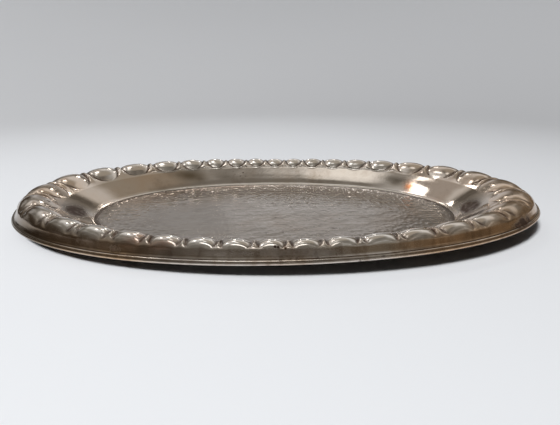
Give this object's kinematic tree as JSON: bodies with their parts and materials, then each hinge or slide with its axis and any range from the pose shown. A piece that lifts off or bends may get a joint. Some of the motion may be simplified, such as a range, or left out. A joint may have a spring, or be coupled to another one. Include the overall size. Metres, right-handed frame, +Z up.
{
  "type": "oval serving tray",
  "caption": "Oval tinned copper tray with a hammered flat floor, sloping wall, hollow border of round bosses and ribs, and a wired rolled edge.",
  "frame": {"origin": "centre of the tray in plan, on the table under its floor", "axes": "+X along the long axis of the oval, +Y along the short axis, +Z up out of the tray"},
  "size_m": [0.4498, 0.27, 0.0288],
  "materials": {
    "tinned_copper": "worn silvery tinning over hammered copper, polished wall and border",
    "wire": "dull"
  },
  "bodies": {
    "root": {"tray_sheet": "tinned_copper", "rim_wire": "wire"}
  },
  "joints": []
}
